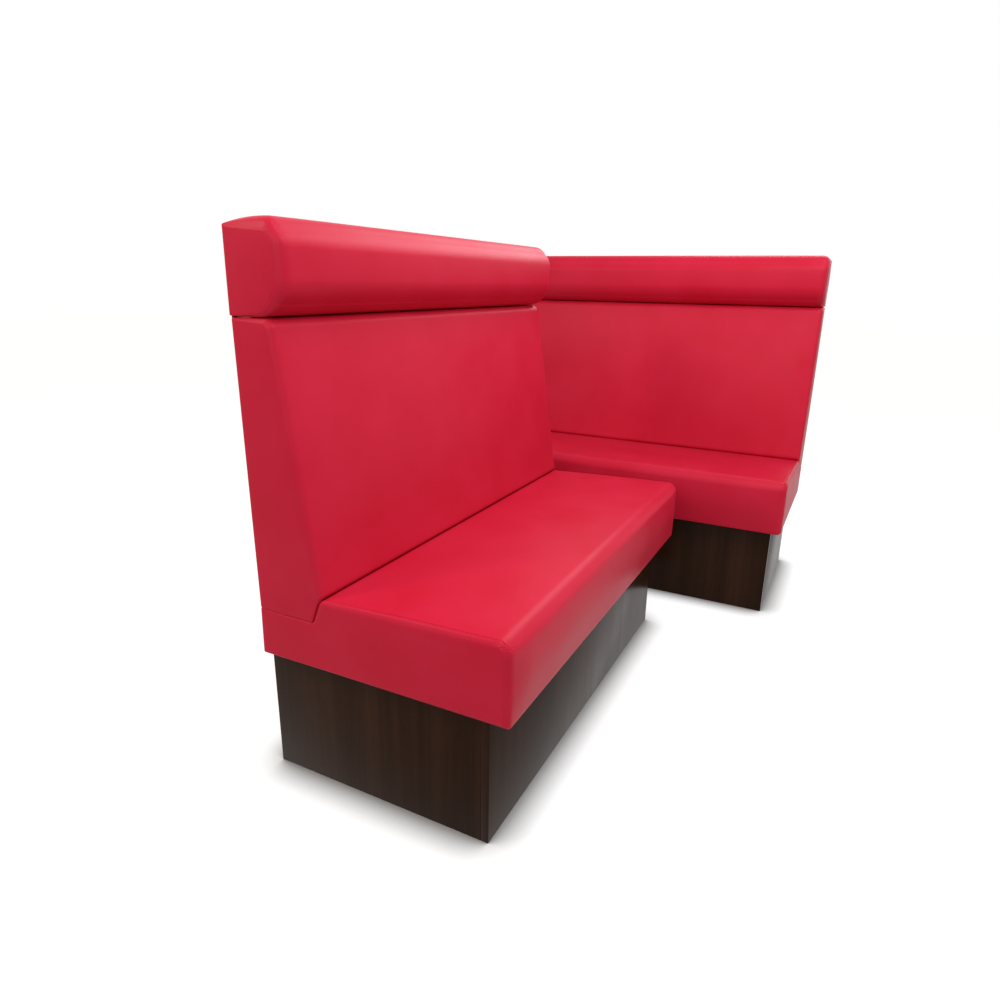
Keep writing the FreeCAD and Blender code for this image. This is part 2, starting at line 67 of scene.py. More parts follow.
def find_bench(name, turn):
    """A bench's length and the matrix that carries its own space into the room."""
    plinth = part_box(f"{name}_plinth_back")
    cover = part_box(f"{name}_seat_cover")
    size = cover[1] - cover[0]
    if turn:
        corner, length = Vector((cover[0].x, plinth[1].y, 0)), size.x
    else:
        corner, length = Vector((plinth[0].x, cover[0].y, 0)), size.y
    return Bench(name, length, Matrix.Translation(corner) @ Matrix.Rotation(math.radians(turn), 4, "Z"))


BENCHES = [find_bench("left", 0), find_bench("rear", -90)]
for bench in BENCHES:
    print(bench.name, "bench:", round(bench.length, 3), "m long")

# %% [markdown]
# ## A few habits of the hand
# Every operator works on what is selected, so a piece starts with nothing selected and ends alone.
# These helpers only spare the repetition: pick one object, step in and out of edit mode, and
# read or write all of a mesh's points at once.

# %% Selecting and editing
def pick(*objects):
    """Select only these objects and make the last one active."""
    if bpy.context.object and bpy.context.object.mode != "OBJECT":
        bpy.ops.object.mode_set(mode="OBJECT")
    bpy.ops.object.select_all(action="DESELECT")
    for thing in objects:
        thing.select_set(True)
    bpy.context.view_layer.objects.active = objects[-1]


def points_of(mesh):
    """All points of a mesh as rows of x, y, z."""
    flat = np.empty(len(mesh.vertices) * 3)
    mesh.vertices.foreach_get("co", flat)
    return flat.reshape(-1, 3)


def move_points(mesh, points):
    """Write all points of a mesh at once."""
    mesh.vertices.foreach_set("co", np.asarray(points, dtype=np.float64).ravel())
    mesh.update()


KINDS = ("vertices", "edges", "polygons")


def choose(mesh, kind, chosen):
    """Select some vertices, edges or faces of a mesh, in object mode, and nothing else."""
    bpy.context.tool_settings.mesh_select_mode = [every == kind for every in KINDS]
    for every in KINDS:
        items = getattr(mesh, every)
        items.foreach_set("select", chosen if every == kind else np.zeros(len(items), dtype=bool))


# %% [markdown]
# ## The pattern of an end panel
# An upholsterer starts from the end panel: its outline is the section of the whole cushion.
# Here an outline is a few corners, each with a rounding and a softness for its end seam.
# A regular net of points is stretched inside it, side to opposite side, so that every row
# of faces follows the edge. A remesh could fill it too, but its squares cut across the seams.
# A crown is highest in the middle of its side. It falls off early towards a rounded corner, and
# late towards the back, where the cover is stapled down.

# %% Draw an outline and stretch a net in it
Corner = namedtuple("Corner", "x z rounding seam rise", defaults=(0.0,))
ARC_STEPS = 24
CORNER_FINENESS = 2.4
CROWN_EASE = 1.6
BACK_EASE = 0.42


def arc_at(corner, before, after, steps=ARC_STEPS):
    """Points of the arc that rounds a corner, from the side of the one before to the one after."""
    here = np.array([corner.x, corner.z])
    back = np.array([before.x, before.z]) - here
    ahead = np.array([after.x, after.z]) - here
    back, ahead = back / np.linalg.norm(back), ahead / np.linalg.norm(ahead)
    half = math.acos(float(np.clip(back @ ahead, -1, 1))) / 2
    reach = corner.rounding / math.tan(half)
    middle = here + (back + ahead) / np.linalg.norm(back + ahead) * corner.rounding / math.sin(half)
    first = here + back * reach - middle
    last = here + ahead * reach - middle
    swing = math.pi - 2 * half
    points = []
    for step in range(steps + 1):
        share = step / steps
        weights = math.sin((1 - share) * swing), math.sin(share * swing)
        points.append(middle + (first * weights[0] + last * weights[1]) / math.sin(swing))
    return np.array(points)


def outline_side(corners, start, end, pieces):
    """One side of the pattern, from mid corner to mid corner: x, z, crown and seam softness."""
    rows = []
    count = len(corners)
    arcs = [arc_at(corners[n], corners[n - 1], corners[(n + 1) % count]) for n in range(count)]
    for n in range(start, end + 1):
        arc = arcs[n % count]
        half = len(arc) // 2
        arc = arc[half:] if n == start else arc[:half + 1] if n == end else arc
        rows += [(x, z, n) for x, z in arc]
    rows = np.array(rows)
    steps = np.linalg.norm(np.diff(rows[:, :2], axis=0), axis=1)
    steps[rows[1:, 2] == rows[:-1, 2]] *= CORNER_FINENESS
    along = np.concatenate([[0], np.cumsum(steps)])
    marks = []
    for n in range(start, end + 1):
        own = along[rows[:, 2] == n]
        marks.append((own[0] + own[-1]) / 2 if start < n < end else own[0 if n == start else -1])
    even = np.linspace(0, along[-1], pieces + 1)
    x, z = np.interp(even, along, rows[:, 0]), np.interp(even, along, rows[:, 1])
    seam = np.interp(even, marks, [corners[n % count].seam for n in range(start, end + 1)])
    crown = np.zeros_like(even)
    for n, (low, high) in enumerate(zip(marks, marks[1:])):
        inside = (even >= low) & (even <= high)
        share = (even[inside] - low) / (high - low)
        to_back = corners[(start + n + 1) % count].x <= corners[0].x
        ease = np.where((share > 0.5) & to_back, BACK_EASE, CROWN_EASE)
        crown[inside] = corners[(start + n) % count].rise * np.abs(np.sin(np.pi * share)) ** ease
    return np.column_stack([x, z, crown, seam])


def net_inside(bottom, front, top, back):
    """A net between four sides, each point blended from the sides across from it."""
    u = np.linspace(0, 1, len(bottom))[:, None, None]
    v = np.linspace(0, 1, len(front))[None, :, None]
    across = (1 - v) * bottom[:, None] + v * top[:, None]
    upward = (1 - u) * back[None, :] + u * front[None, :]
    corners = ((1 - u) * (1 - v) * bottom[0] + u * (1 - v) * bottom[-1]
               + (1 - u) * v * top[0] + u * v * top[-1])
    return across + upward - corners


# %% [markdown]
# ## Cutting the foam block
# The end panel starts as a grid, its points are laid on the net, and it is extruded to the length
# of the bench. The long edges are cut into rows, close together at the ends, where the cover
# turns over the edge, and a finger's width apart in the middle.

# %% Extrude a pattern into a block of rows
Soft = namedtuple("Soft", "name corners marks counts rise start run lip")
LIP_ROWS = 3
ROW_GAP = 14.2 * MM
NEAR_ROWS = [d * MM for d in (0, 0.6, 2.0, 4.2, 7.2, 11, 15.5, 21, 27.5, 35.5, 45)]


def row_places(length):
    """Where the rows lie along a bench: close at both ends and even between them."""
    gap = length - 2 * NEAR_ROWS[-1]
    count = round(gap / ROW_GAP)
    middle = [NEAR_ROWS[-1] + gap * n / count for n in range(1, count)]
    return np.array(NEAR_ROWS + middle + [length - d for d in reversed(NEAR_ROWS)])


def pattern_of(soft):
    """The pattern's four sides with the same number of points on opposite sides."""
    across, upward = soft.counts
    first, second, third, fourth = soft.marks
    last = len(soft.corners)
    bottom = outline_side(soft.corners, first, second, across)
    front = outline_side(soft.corners, second, third, upward)
    top = outline_side(soft.corners, third, fourth, across)[::-1]
    back = outline_side(soft.corners, fourth, last, upward)[::-1]
    return [side * MM for side in (bottom, front, top, back)]


def cut_block(name, soft, length):
    """Grid, extrude and cut: a plain block with the pattern's section and its rows of faces."""
    across, upward = soft.counts
    net = net_inside(*[side[:, :2] for side in pattern_of(soft)])
    bpy.ops.object.select_all(action="DESELECT")
    bpy.ops.mesh.primitive_grid_add(x_subdivisions=across, y_subdivisions=upward, size=1)
    block = bpy.context.object
    block.name = block.data.name = name
    grid = points_of(block.data)
    i = np.rint((grid[:, 0] + 0.5) * across).astype(int)
    j = np.rint((grid[:, 1] + 0.5) * upward).astype(int)
    flat = net[i, j]
    move_points(block.data, np.column_stack([flat[:, 0], np.zeros(len(flat)), flat[:, 1]]))
    bpy.ops.object.mode_set(mode="EDIT")
    bpy.ops.mesh.select_all(action="SELECT")
    bpy.ops.mesh.extrude_region_move(TRANSFORM_OT_translate={"value": (0, length, 0)})
    bpy.ops.object.mode_set(mode="OBJECT")
    mesh = block.data
    ends = np.array([edge.vertices[:] for edge in mesh.edges])
    y = points_of(mesh)[:, 1]
    choose(mesh, "edges", np.abs(y[ends[:, 0]] - y[ends[:, 1]]) > length / 2)
    bpy.ops.object.mode_set(mode="EDIT")
    bpy.ops.mesh.subdivide(number_cuts=len(row_places(length)) - 2)
    bpy.ops.mesh.select_all(action="SELECT")
    bpy.ops.mesh.normals_make_consistent(inside=False)
    bpy.ops.object.mode_set(mode="OBJECT")
    return block


# %% [markdown]
# ## Drawing the block in like foam
# Foam under a stretched cover is never a straight block: its faces are crowned, its edges are soft
# where the end panel is sewn on, and the end panel itself swells a little between its seams.
# Each point knows its place on the pattern and its row, so all of that is one careful move.
# At the back of both ends a narrow lip of the cover stands out, past the edge of the back panel.

# %% Soften the ends and crown the faces
END_SWELL = 2.0 * MM
END_SWELL_EASE = 0.6
END_DRAW = 1.5 * MM


def ring_of(shape):
    """The pattern's edge points in order, counter-clockwise as seen from the near end."""
    across, upward = shape[0] - 1, shape[1] - 1
    ring = [(i, 0) for i in range(across)] + [(across, j) for j in range(upward)]
    ring += [(i, upward) for i in range(across, 0, -1)] + [(0, j) for j in range(upward, 0, -1)]
    return np.array(ring)


def outward_of(net):
    """At each edge point of a net, the way out of the section."""
    i, j = ring_of(net.shape[:2]).T
    run = np.roll(net[i, j], -1, axis=0) - np.roll(net[i, j], 1, axis=0)
    run /= np.linalg.norm(run, axis=1)[:, None]
    out = np.zeros(net.shape)
    out[i, j] = np.column_stack([run[:, 1], -run[:, 0]])
    return out


def places_in(net, points):
    """The place in a net that each point of the plain block comes from."""
    tree = KDTree(net.shape[0] * net.shape[1])
    for number, (x, z) in enumerate(net.reshape(-1, 2)):
        tree.insert((x, 0, z), number)
    tree.balance()
    return np.unravel_index([tree.find((x, 0, z))[1] for x, _, z in points], net.shape[:2])


def shape_block(block, soft, length):
    """Move every point to the soft form. Gives its rows from the end, and if it is on an edge."""
    sides = pattern_of(soft)
    net = net_inside(*[side[:, :2] for side in sides])
    crown, seam = np.moveaxis(net_inside(*[side[:, 2:] for side in sides]), 2, 0)
    out = outward_of(net)

    def section_at(distance):
        """The section at a distance from the end, drawn in by the seam's rounding."""
        drawn = seam - np.sqrt(np.maximum(seam**2 - (seam - np.minimum(distance, seam)) ** 2, 0))
        share = math.sin(math.pi / 2 * min(distance / (soft.run * MM), 1))
        start = soft.start * MM * (np.abs(crown) > 0)
        moved = net + out * (crown * share - drawn - start)[..., None]
        return net_inside(moved[:, 0], moved[-1, :], moved[:, -1], moved[0, :])

    points = points_of(block.data)
    i, j = places_in(net, points)
    rows = row_places(length)
    last = len(rows) - 1
    row = np.rint(points[:, 1] / length * last).astype(int)
    shaped = np.empty_like(points)
    for index, place in enumerate(rows):
        here = row == index
        shaped[here, 0], shaped[here, 2] = section_at(min(place, length - place))[i[here], j[here]].T
        shaped[here, 1] = place
    across, upward = net.shape[0] - 1, net.shape[1] - 1
    swelling = np.abs(np.sin(np.pi * i / across) * np.sin(np.pi * j / upward)) ** END_SWELL_EASE
    to_end = np.minimum(shaped[:, 1], length - shaped[:, 1])
    inward = END_DRAW * np.clip(1 - to_end / NEAR_ROWS[-1], 0, 1)
    outward = np.where((row == 0) | (row == last), END_SWELL * swelling, 0)
    shaped[:, 1] += np.where(row < last / 2, 1, -1) * (inward - outward)
    from_end = np.minimum(row, last - row)
    shaped[(i == 0) & (from_end <= LIP_ROWS), 0] -= soft.lip * MM
    move_points(block.data, shaped)
    return from_end, (i == 0) | (j == 0) | (i == across) | (j == upward)


# %% [markdown]
# ## Stretching the cover
# The cover is simulated as cloth with the foam pressing out from inside. It is held where it is
# stapled to a board and where the end panel is sewn in, so every face crowns between its seams.
# A stretched cover evens out its own folds: the rise is shared between neighbours, then scaled
# to a few millimetres, and written into the mesh, so no simulation is left on the piece.

# %% Swell the cover with a cloth simulation
PRESSURE = 4.0
FRAMES = 20
CLOTH_QUALITY = 4
HELD_REACH = 24 * MM
EVENINGS = 60


def looseness(points, held, reach):
    """0 on what is held, rising to 1 at a reach from it."""
    tree = KDTree(int(held.sum()))
    for number, point in enumerate(points[held]):
        tree.insert(point, number)
    tree.balance()
    away = np.array([tree.find(point)[2] for point in points]) / reach
    away = np.clip(away, 0, 1)
    return away * away * (3 - 2 * away)


def evened(mesh, values):
    """Values shared out between neighbouring points, again and again."""
    ends = np.empty(len(mesh.edges) * 2, dtype=int)
    mesh.edges.foreach_get("vertices", ends)
    first, second = ends.reshape(-1, 2).T
    count = len(values)
    neighbours = np.bincount(first, minlength=count) + np.bincount(second, minlength=count)
    for _ in range(EVENINGS):
        total = np.bincount(first, values[second], count) + np.bincount(second, values[first], count)
        values = (values + total / neighbours) / 2
    return values


def normals_of(mesh):
    """The normals at all points of a mesh."""
    flat = np.empty(len(mesh.vertices) * 3)
    mesh.vertices.foreach_get("normal", flat)
    return flat.reshape(-1, 3)


def swell(piece, held, most):
    """Let the cover rise under pressure from the points that are held, by so much at most."""
    start = points_of(piece.data)
    group = piece.vertex_groups.new(name="held")
    group.add(np.flatnonzero(held).tolist(), 1.0, "REPLACE")
    cloth = piece.modifiers.new("cover", "CLOTH")
    cloth.point_cache.frame_start, cloth.point_cache.frame_end = 1, FRAMES
    settings = cloth.settings
    settings.quality = CLOTH_QUALITY
    settings.vertex_group_mass = group.name
    settings.use_pressure = True
    settings.uniform_pressure_force = PRESSURE
    settings.effector_weights.gravity = 0
    scene = bpy.context.scene
    for number in range(1, FRAMES + 1):
        scene.frame_set(number)
    posed = piece.evaluated_get(bpy.context.evaluated_depsgraph_get())
    moved = points_of(posed.data) - start
    piece.modifiers.remove(cloth)
    piece.vertex_groups.remove(group)
    scene.frame_set(1)
    normals = normals_of(piece.data)
    rise = evened(piece.data, np.maximum((moved * normals).sum(axis=1), 0))
    highest = float(rise.max())
    rise *= most / highest * looseness(start, held, HELD_REACH)
    move_points(piece.data, start + normals * rise[:, None])
    return highest


# %% [markdown]
# ## Sewing
# Two kinds of seam show. The end panel is sewn to the long panel along the edge itself, so one
# row of points sinks all the way round. On the seat the turned-in seam is stitched down again,
# a finger's width from the edge, and stands up as a soft roll between the stitches and the edge.
# At the front corners the cover is pulled together, and small folds fan out from there.

# %% Seams, stitches and gathers
SEAM_ROW = 2
SEAM_DEPTH = 1.2 * MM
STITCH_PLACE = 11 * MM
STITCH_WIDTH = 0.9 * MM
STITCH_DEPTH = 1.3 * MM
STITCH_FACING = (0.3, 3)
ROLL_RISE = 1.2 * MM
GATHER_INSET = 5
GATHER_REACH = 26 * MM
GATHER_FOLDS = 11
GATHER_FACING = (0, 2)


def sink(piece, chosen, depth):
    """Press points into the cushion, each against its own normal."""
    points = points_of(piece.data)
    points[chosen] -= normals_of(piece.data)[chosen] * (np.ones(len(points)) * depth)[chosen, None]
    move_points(piece.data, points)


def facing_up(normals, tilt, steepness):
    """1 where a point faces up, 0 where it faces down, and a soft step between."""
    return np.clip((normals[:, 2] + tilt) * steepness, 0, 1)


def stitch_across(piece, place, end):
    """A stitched line across the cushion near one end, and the soft roll between the two."""
    for offset in (-STITCH_WIDTH, 0, STITCH_WIDTH):
        pick(piece)
        bpy.ops.object.mode_set(mode="EDIT")
        bpy.ops.mesh.select_all(action="SELECT")
        bpy.ops.mesh.bisect(plane_co=(0, place + offset, 0), plane_no=(0, 1, 0))
        bpy.ops.object.mode_set(mode="OBJECT")
    points, normals = points_of(piece.data), normals_of(piece.data)
    front = points[:, 0].max() - SEAT_FRONT_ROUND
    behind_front = np.clip((front - points[:, 0]) / SEAT_FRONT_ROUND, 0, 1)
    on_top = facing_up(normals, *STITCH_FACING) * behind_front
    on_line = np.abs(points[:, 1] - place) < STITCH_WIDTH / 10
    share = (points[:, 1] - end) / (place - end)
    in_roll = (share > 0) & (share < 1)
    profile = np.where(on_line, STITCH_DEPTH, -ROLL_RISE * np.sin(np.pi * np.clip(share, 0, 1)))
    sink(piece, on_line | in_roll, profile * on_top)


def gather(piece, spot, outward, depth):
    """Small folds that fan out from a corner of the cover, over the side that faces up."""
    outward = np.array(outward) / np.linalg.norm(outward)
    aside = np.cross(outward, (0, 1, 0))
    aside /= np.linalg.norm(aside)
    away = points_of(piece.data) - np.array(spot) * MM
    reach = np.linalg.norm(away, axis=1) / GATHER_REACH
    angle = np.arctan2(away @ np.cross(outward, aside), away @ aside)
    fade = np.sin(np.pi * np.clip(reach, 0, 1)) ** 2 * facing_up(normals_of(piece.data), *GATHER_FACING)
    sink(piece, reach < 1, depth * fade * (0.5 + 0.5 * np.cos(angle * GATHER_FOLDS)))


# %% [markdown]
# ## Room for the frame
# A cushion is not a brick of foam: the boards of the seat box and the back stand inside it.
# The frame's own pieces say how large that room is, and a Boolean takes it out of the cushion.

# %% Hollow a cushion where the frame stands
FRAME_GAP = 0.2 * MM
OPEN_SIDE = 60 * MM


def frame_points(bench, *names):
    """The corners of some frame pieces in the bench's own space."""
    back_home = bench.place.inverted()
    return np.array([back_home @ v.co for name in names
                     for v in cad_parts[f"{bench.name}_{name}"].data.vertices])


def hollow(piece, points, open_below):
    """Cut away the room round some frame pieces, open at the back or below."""
    low, high = points.min(0), points.max(0)
    foot = points[points[:, 2] < low[2] + MM][:, 0].max() + FRAME_GAP
    head = points[points[:, 2] > high[2] - MM][:, 0].max() + FRAME_GAP
    slope = (head - foot) / (high[2] - low[2])
    bottom, top = low[2] - OPEN_SIDE, high[2] + FRAME_GAP
    back = low[0] - (FRAME_GAP if open_below else OPEN_SIDE)
    bpy.ops.object.select_all(action="DESELECT")
    bpy.ops.mesh.primitive_cube_add(size=1)
    room = bpy.context.object
    corners = []
    for x, y, z in points_of(room.data):
        z = top if z > 0 else bottom
        front = foot + (z - low[2]) * slope
        side = high[1] + FRAME_GAP if y > 0 else low[1] - FRAME_GAP
        corners.append((front if x > 0 else back, side, z))
    move_points(room.data, corners)
    cut = piece.modifiers.new("room for the frame", "BOOLEAN")
    cut.operation, cut.solver, cut.object = "DIFFERENCE", "MANIFOLD", room
    pick(piece)
    bpy.ops.object.modifier_apply(modifier=cut.name)
    bpy.data.objects.remove(room)


# %% [markdown]
# ## The three cushions of a bench
# The seat steps down at the back to a ledge, on which the back pad stands. The pad leans and
# ends in a soft nose behind the seat. The headroll is nearly round in front and square behind.
# The corners go round from the bottom of the back, in millimetres, and a crown's rise belongs to
# the side after its corner. Four of them, the marks, are where the net's four sides meet, and the
# counts are its squares across and upward. The cloth may rise by so much, the crown starts lower
# than the block and runs up to its full height over a length, and the lip stands out at the back.

# %% The sections of seat, back pad and headroll
SEAT_FRONT_ROUND = 12 * MM
SEAT = Soft(
    name="seat",
    corners=[Corner(10, 305, 2, 2), Corner(610, 305, 6, 13, 9), Corner(610, 484, 27, 14, 9),
             Corner(177, 468, 18, 9), Corner(156, 412, 2.5, 5), Corner(10, 412, 3, 6)],
    marks=(0, 1, 2, 5), counts=(80, 26), rise=4.5, start=1.0, run=85, lip=0)
PAD = Soft(
    name="back_pad",
    corners=[Corner(16, 412.3, 1.5, 2), Corner(155.5, 412.3, 3, 2), Corner(172.2, 457, 8, 3),
             Corner(187, 476, 14, 8, 10), Corner(103, 1017.1, 22, 14), Corner(8, 1017.1, 1.5, 6)],
    marks=(0, 1, 4, 5), counts=(20, 80), rise=4.0, start=1.0, run=85, lip=4)
ROLL = Soft(
    name="headroll",
    corners=[Corner(8, 1017.5, 1.5, 1.5), Corner(143, 1017.5, 68, 20, 4), Corner(143, 1183, 42, 18, 12),
             Corner(6, 1183, 1.5, 7)],
    marks=(0, 1, 2, 3), counts=(30, 34), rise=3.0, start=1.0, run=24, lip=5)
GATHERS = {"seat": (604, 478, 1.4 * MM), "headroll": (128, 1170, 0.7 * MM)}

# %% [markdown]
# ## Where a cushion is held
# A cover is stapled to the boards behind and under it, and it can't swell where it lies on the
# cushion below. Each patch reaches from the back to a depth x, and from one height z to another.

# %% The patches where each cushion is held
FAR = 9999
Patch = namedtuple("Patch", "x_to z_from z_to")
HELD = {
    "seat": [Patch(FAR, 0, 306), Patch(12, 0, FAR), Patch(178, 0, 462)],
    "back_pad": [Patch(18, 0, FAR), Patch(FAR, 0, 474), Patch(84, 1012, FAR)],
    "headroll": [Patch(18, 0, FAR), Patch(96, 0, 1020.5)],
}
FRAME_PIECES = {
    "seat": ("seat_back_rail", "seat_front_rail", "seat_deck"),
    "back_pad": ("back_face_board",),
    "headroll": ("headroll_board",),
}


def stapled(name, points):
    """Where a cushion rests on wood or on the cushion below, in the bench's own space."""
    x, z = (points[:, [0, 2]] / MM).T
    return np.any([(x < patch.x_to) & (z > patch.z_from) & (z < patch.z_to) for patch in HELD[name]], axis=0)


# %% [markdown]
# ## Making a cushion
# The steps follow the workshop: cut the block, soften it, stretch the cover, sink the end seams,
# smooth everything by one subdivision, sew and gather, and last take out the room for the frame.
# Seams come after the cloth, because a stretched cover would pull them flat again.

# %% Make the cushions
SMOOTH_ANGLE = math.radians(50)


def make_cushion(bench, soft):
    """One finished cushion of a bench, in its place in the room."""
    clock = time.time()
    piece = cut_block(f"{bench.name}_{soft.name}", soft, bench.length)
    from_end, on_edge = shape_block(piece, soft, bench.length)
    seam = on_edge & (from_end == SEAM_ROW)
    risen = swell(piece, seam | stapled(soft.name, points_of(piece.data)), soft.rise * MM)
    sink(piece, seam, SEAM_DEPTH)
    smooth = piece.modifiers.new("smooth", "SUBSURF")
    smooth.levels = smooth.render_levels = 1
    pick(piece)
    bpy.ops.object.modifier_apply(modifier=smooth.name)
    for end, inward in ((0, 1), (bench.length, -1)):
        if soft.name == "seat":
            stitch_across(piece, end + inward * STITCH_PLACE, end)
        if soft.name in GATHERS:
            x, z, depth = GATHERS[soft.name]
            gather(piece, (x, end / MM + inward * GATHER_INSET, z), (1, -inward, 1), depth)
    hollow(piece, frame_points(bench, *FRAME_PIECES[soft.name]), soft.name == "seat")
    pick(piece)
    bpy.ops.object.shade_smooth_by_angle(angle=SMOOTH_ANGLE)
    piece.data.transform(bench.place)
    print(piece.name, len(piece.data.polygons), "faces, rose", round(risen / MM, 1), "mm before scaling,",
          round(time.time() - clock, 1), "s")
    return piece


CUSHIONS = {}
for bench in BENCHES:
    for soft in (SEAT, PAD, ROLL):
        CUSHIONS[bench.name, soft.name] = make_cushion(bench, soft)

# %% [markdown]
# ## What each cushion stands for
# The measured model keeps the cover, the foam and the softer edge foam apart, as they are bought
# and cut. From outside they are one cushion, so each new cushion takes the place of all three.

for (bench_name, part), piece in CUSHIONS.items():
    nodes = [f"{bench_name}_{part}_cover", f"{bench_name}_{part}_foam", f"{bench_name}_{part}_edge_foam"]
    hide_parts(*nodes)
    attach(piece, "root")

# %% [markdown]
# ## Boards with eased edges
# The plinth boards and the outside back panels are seen, and a saw leaves no edge that sharp:
# the laminate is filed off by a millimetre. The measured mesh comes as loose triangles, so its
# points are merged and its flat faces made whole before the edges are bevelled. The back panel
# is tacked on last. It stops short of the ends, so the covers' lips hide its edges, and it leans
# back by a centimetre with the cushions' back edges.

# %% Ease the edges of the boards that are seen
BOARD_EASE = 1.2 * MM
PANEL_EASE = 1.5 * MM
PANEL_INSET = 6 * MM
PANEL_LEAN = 10 * MM
MERGE_REACH = 0.01 * MM
FLAT_ANGLE = math.radians(1)
EDGE_ANGLE = math.radians(40)
ROUND_ANGLE = math.radians(30)
SEEN_BOARDS = ("plinth_front", "plinth_back", "plinth_near_end", "plinth_far_end")


def eased_board(node_name, ease, along=None, lean=0):
    """A copy of a measured board with bevelled edges. A panel is also cut short and leans back."""
    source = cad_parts[node_name]
    board = source.copy()
    board.data = source.data.copy()
    board.name = board.data.name = node_name.replace("_panel", "") + "_board"
    bpy.context.scene.collection.objects.link(board)
    pick(board)
    bpy.ops.object.mode_set(mode="EDIT")
    bpy.ops.mesh.select_all(action="SELECT")
    bpy.ops.mesh.remove_doubles(threshold=MERGE_REACH)
    bpy.ops.mesh.dissolve_limited(angle_limit=FLAT_ANGLE)
    bpy.ops.mesh.normals_make_consistent(inside=False)
    bpy.ops.object.mode_set(mode="OBJECT")
    if along is not None:
        points = points_of(board.data)
        middle = (points[:, along].min() + points[:, along].max()) / 2
        points[:, along] -= np.sign(points[:, along] - middle) * PANEL_INSET
        points[:, 1 - along] += lean * (points[:, 2] - points[:, 2].min()) / np.ptp(points[:, 2])
        move_points(board.data, points)
    bevel = board.modifiers.new("eased edges", "BEVEL")
    bevel.width, bevel.segments = ease, 2
    bevel.limit_method, bevel.angle_limit = "ANGLE", EDGE_ANGLE
    bpy.ops.object.modifier_apply(modifier=bevel.name)
    bpy.ops.object.shade_smooth_by_angle(angle=ROUND_ANGLE)
    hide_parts(node_name)
    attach(board, "root")
    print(board.name, len(board.data.polygons), "faces")
    return board


PLINTHS = [eased_board(f"{bench.name}_{name}", BOARD_EASE) for bench in BENCHES for name in SEEN_BOARDS]
BACKS = [eased_board(f"{bench.name}_outside_back_panel", PANEL_EASE, along, lean)
         for bench, along, lean in zip(BENCHES, (1, 0), (-PANEL_LEAN, PANEL_LEAN))]

# %% [markdown]
# ## A small kit for materials
# Every material here is a handful of nodes around one shader. Some helpers keep that readable:
# they start a material or a group, add a node and set its sockets by name, and plug it all in.
# A Mix node has sockets for every kind of value, and its colours are the ones numbered here.

# %% Nodes by name
COLOUR_INPUTS = slice(6, 8)
COLOUR_OUTPUT = 2


def add_node(tree, kind, settings=None, **sockets):
    """Add a node, set its own settings, then plug in or set its sockets by name."""
    node = tree.nodes.new(kind)
    for key, value in (settings or {}).items():
        setattr(node, key, value)
    for key, value in sockets.items():
        socket = node.inputs[int(key[1:]) if key[1:].isdigit() else key.replace("_", " ")]
        if isinstance(value, bpy.types.NodeSocket):
            tree.links.new(value, socket)
        else:
            socket.default_value = value
    return node


def new_material(name):
    """An empty material and its node tree."""
    made = bpy.data.materials.new(name)
    made.use_nodes = True
    made.node_tree.nodes.clear()
    return made, made.node_tree


def new_group(name, inputs, outputs):
    """An empty shader node group with its sockets, and its two ends inside."""
    tree = bpy.data.node_groups.new(name, "ShaderNodeTree")
    for label, kind, value in inputs:
        socket = tree.interface.new_socket(label, in_out="INPUT", socket_type=kind)
        if value is not None:
            socket.default_value = value
    for label, kind in outputs:
        tree.interface.new_socket(label, in_out="OUTPUT", socket_type=kind)
    return tree, tree.nodes.new("NodeGroupInput"), tree.nodes.new("NodeGroupOutput")


def finish_material(made, shader):
    """Plug the shader into the material's output."""
    tree = made.node_tree
    add_node(tree, "ShaderNodeOutputMaterial", Surface=shader.outputs[0])
    print("material:", made.name, "with", len(tree.nodes), "nodes")


def grade(tree, value, low, high, from_low=0.0, from_high=1.0):
    """A value from one range spread over another."""
    return add_node(tree, "ShaderNodeMapRange", Value=value, From_Min=from_low, From_Max=from_high,
                    To_Min=low, To_Max=high).outputs["Result"]


def blend(tree, share, first, second):
    """Two colours mixed by a share."""
    node = add_node(tree, "ShaderNodeMix", {"data_type": "RGBA"}, Factor=share)
    for socket, colour in zip(node.inputs[COLOUR_INPUTS], (first, second)):
        socket.default_value = (*colour, 1)
    return node.outputs[COLOUR_OUTPUT]


# %% [markdown]
# ## Leather grain
# Leathercloth is a knitted cloth with a skin of vinyl, embossed with the pebbles of real hide.
# Pebbles are cells two millimetres wide with soft valleys between them, and a finer noise breaks
# up their tops. A slow noise over a hand's width shows where the skin is a little more rubbed.
# The group only gives values out, so the shader itself stays in the material.

# %% Group: leather grain
PEBBLE_SOFTNESS = 0.6
PEBBLE_DEPTH = 0.8
FINE_SCALE = 1400.0
FINE_HEIGHT = (0.7, 1.0)
RUBBED_SCALE = 7.0
RUBBED_RANGE = (0.3, 0.7)
LEATHER_GRAIN, ends_in, ends_out = new_group(
    "leather grain",
    [("Vector", "NodeSocketVector", None), ("Pebbles per Metre", "NodeSocketFloat", 480.0)],
    [("Height", "NodeSocketFloat"), ("Rubbed", "NodeSocketFloat")])
vector, density = ends_in.outputs["Vector"], ends_in.outputs["Pebbles per Metre"]
pebbles = add_node(LEATHER_GRAIN, "ShaderNodeTexVoronoi", {"feature": "SMOOTH_F1"},
                   Vector=vector, Scale=density, Smoothness=PEBBLE_SOFTNESS)
fine = add_node(LEATHER_GRAIN, "ShaderNodeTexNoise", Vector=vector, Scale=FINE_SCALE, Detail=2.0)
slow = add_node(LEATHER_GRAIN, "ShaderNodeTexNoise", Vector=vector, Scale=RUBBED_SCALE, Detail=3.0)
